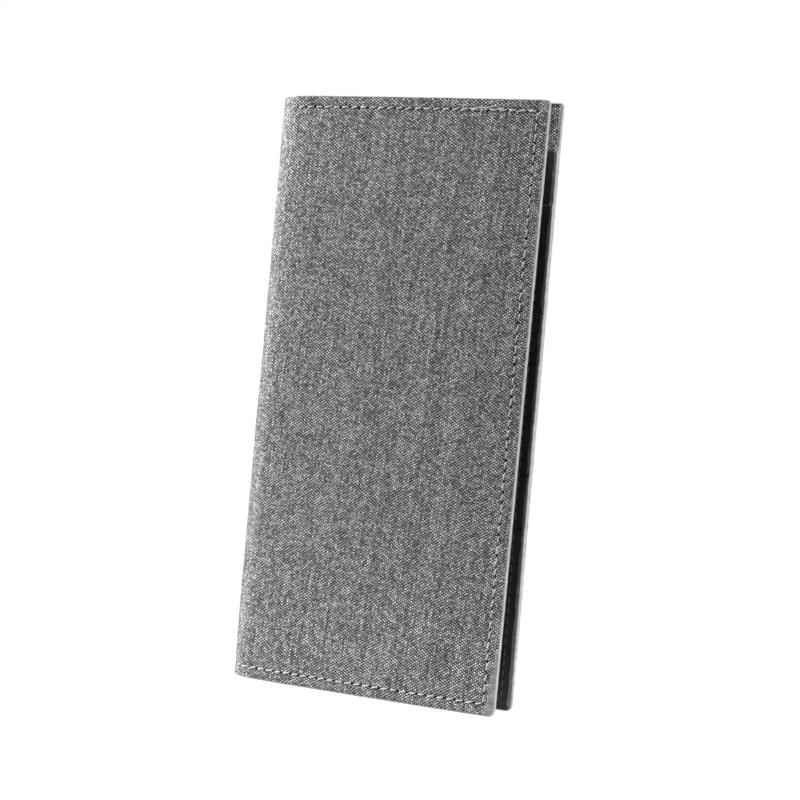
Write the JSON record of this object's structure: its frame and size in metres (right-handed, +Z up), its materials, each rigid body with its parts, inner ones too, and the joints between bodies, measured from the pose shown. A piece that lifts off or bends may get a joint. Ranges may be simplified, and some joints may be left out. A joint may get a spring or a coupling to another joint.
{
  "type": "bifold wallet",
  "caption": "Long bifold wallet of heather-grey canvas with a rolled fold, painted edges, a stitched perimeter seam and card pockets inside.",
  "frame": {"origin": "centre of the footprint, on the surface the wallet stands on", "axes": "+Z up along the fold, +X from the folded spine to the fore-edge, -Y out of the front cover"},
  "size_m": [0.1003, 0.0138, 0.195],
  "materials": {
    "canvas": "heather-grey plain-weave canvas",
    "board": "thin backing board",
    "lining": "black lining cloth",
    "pocket_cloth": "black pocket cloth",
    "edge_paint": "satin edge paint",
    "thread": "bonded sewing thread"
  },
  "bodies": {
    "rear_leaf": {"rear_cover_canvas": "canvas", "rear_backing_board": "board", "rear_cover_lining": "lining", "rear_inner_panel": "canvas", "rear_card_pocket_1": "pocket_cloth", "rear_card_pocket_2": "pocket_cloth", "rear_card_pocket_3": "pocket_cloth", "rear_card_pocket_4": "pocket_cloth", "rear_card_pocket_5": "pocket_cloth", "rear_card_pocket_6": "pocket_cloth", "rear_card_pocket_7": "pocket_cloth", "rear_card_pocket_8": "pocket_cloth", "rear_edge_coat": "edge_paint", "rear_seam_thread": "thread"},
    "spine": {"spine_canvas": "canvas", "spine_lining": "lining", "spine_edge_coat": "edge_paint", "spine_seam_thread": "thread"},
    "front_leaf": {"front_cover_canvas": "canvas", "front_backing_board": "board", "front_cover_lining": "lining", "front_inner_panel": "canvas", "front_slip_pocket": "pocket_cloth", "front_card_pocket_1": "pocket_cloth", "front_card_pocket_2": "pocket_cloth", "front_card_pocket_3": "pocket_cloth", "front_card_pocket_4": "pocket_cloth", "front_card_pocket_5": "pocket_cloth", "front_edge_coat": "edge_paint", "front_seam_thread": "thread"}
  },
  "joints": [
    {"name": "rear_fold", "type": "hinge", "parent": "rear_leaf", "child": "spine", "pos_m": [-0.04855, 0.00355, 0.0975], "axis": [0, 0, -1], "range_deg": [-2.1, 89]},
    {"name": "front_fold", "type": "hinge", "parent": "spine", "child": "front_leaf", "pos_m": [-0.04855, -0.00355, 0.0975], "axis": [0, 0, -1], "range_deg": [-2.1, 89]}
  ],
  "couplings": [
    {"joint": "front_fold", "follows": "rear_fold", "ratio": 1}
  ]
}
